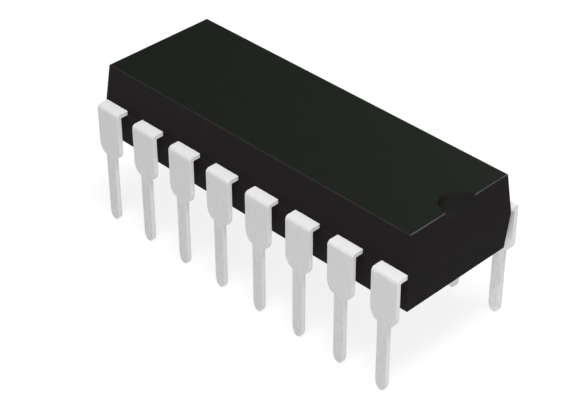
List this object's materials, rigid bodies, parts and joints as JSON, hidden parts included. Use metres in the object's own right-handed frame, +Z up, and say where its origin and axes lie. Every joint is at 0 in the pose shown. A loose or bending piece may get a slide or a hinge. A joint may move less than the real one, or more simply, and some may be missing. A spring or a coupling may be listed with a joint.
{
  "type": "integrated circuit",
  "caption": "Black moulded dual in-line integrated circuit with a row of formed tinned leads bent down along each side and an index notch at one end.",
  "frame": {"origin": "middle of the lead pattern, on the seating plane, where the lead shoulders stop on a board", "axes": "+X along the body towards the index notch, +Y towards the row of leads 1 to 8, +Z up through the top face"},
  "size_m": [0.0194, 0.0078, 0.0082],
  "materials": {
    "moulding": "satin",
    "lead": "satin",
    "paddle": "satin",
    "die_adhesive": "satin",
    "silicon": "gloss",
    "bond_wire": "gloss"
  },
  "bodies": {
    "root": {"moulded_body": "moulding", "lead_01": "lead", "lead_02": "lead", "lead_03": "lead", "lead_04": "lead", "lead_05": "lead", "lead_06": "lead", "lead_07": "lead", "lead_08": "lead", "lead_09": "lead", "lead_10": "lead", "lead_11": "lead", "lead_12": "lead", "lead_13": "lead", "lead_14": "lead", "lead_15": "lead", "lead_16": "lead", "die_paddle": "paddle", "die_attach": "die_adhesive", "silicon_die": "silicon", "bond_wire_01": "bond_wire", "bond_wire_02": "bond_wire", "bond_wire_03": "bond_wire", "bond_wire_04": "bond_wire", "bond_wire_05": "bond_wire", "bond_wire_06": "bond_wire", "bond_wire_07": "bond_wire", "bond_wire_08": "bond_wire", "bond_wire_09": "bond_wire", "bond_wire_10": "bond_wire", "bond_wire_11": "bond_wire", "bond_wire_12": "bond_wire", "bond_wire_13": "bond_wire", "bond_wire_14": "bond_wire", "bond_wire_15": "bond_wire", "bond_wire_16": "bond_wire"}
  },
  "joints": []
}
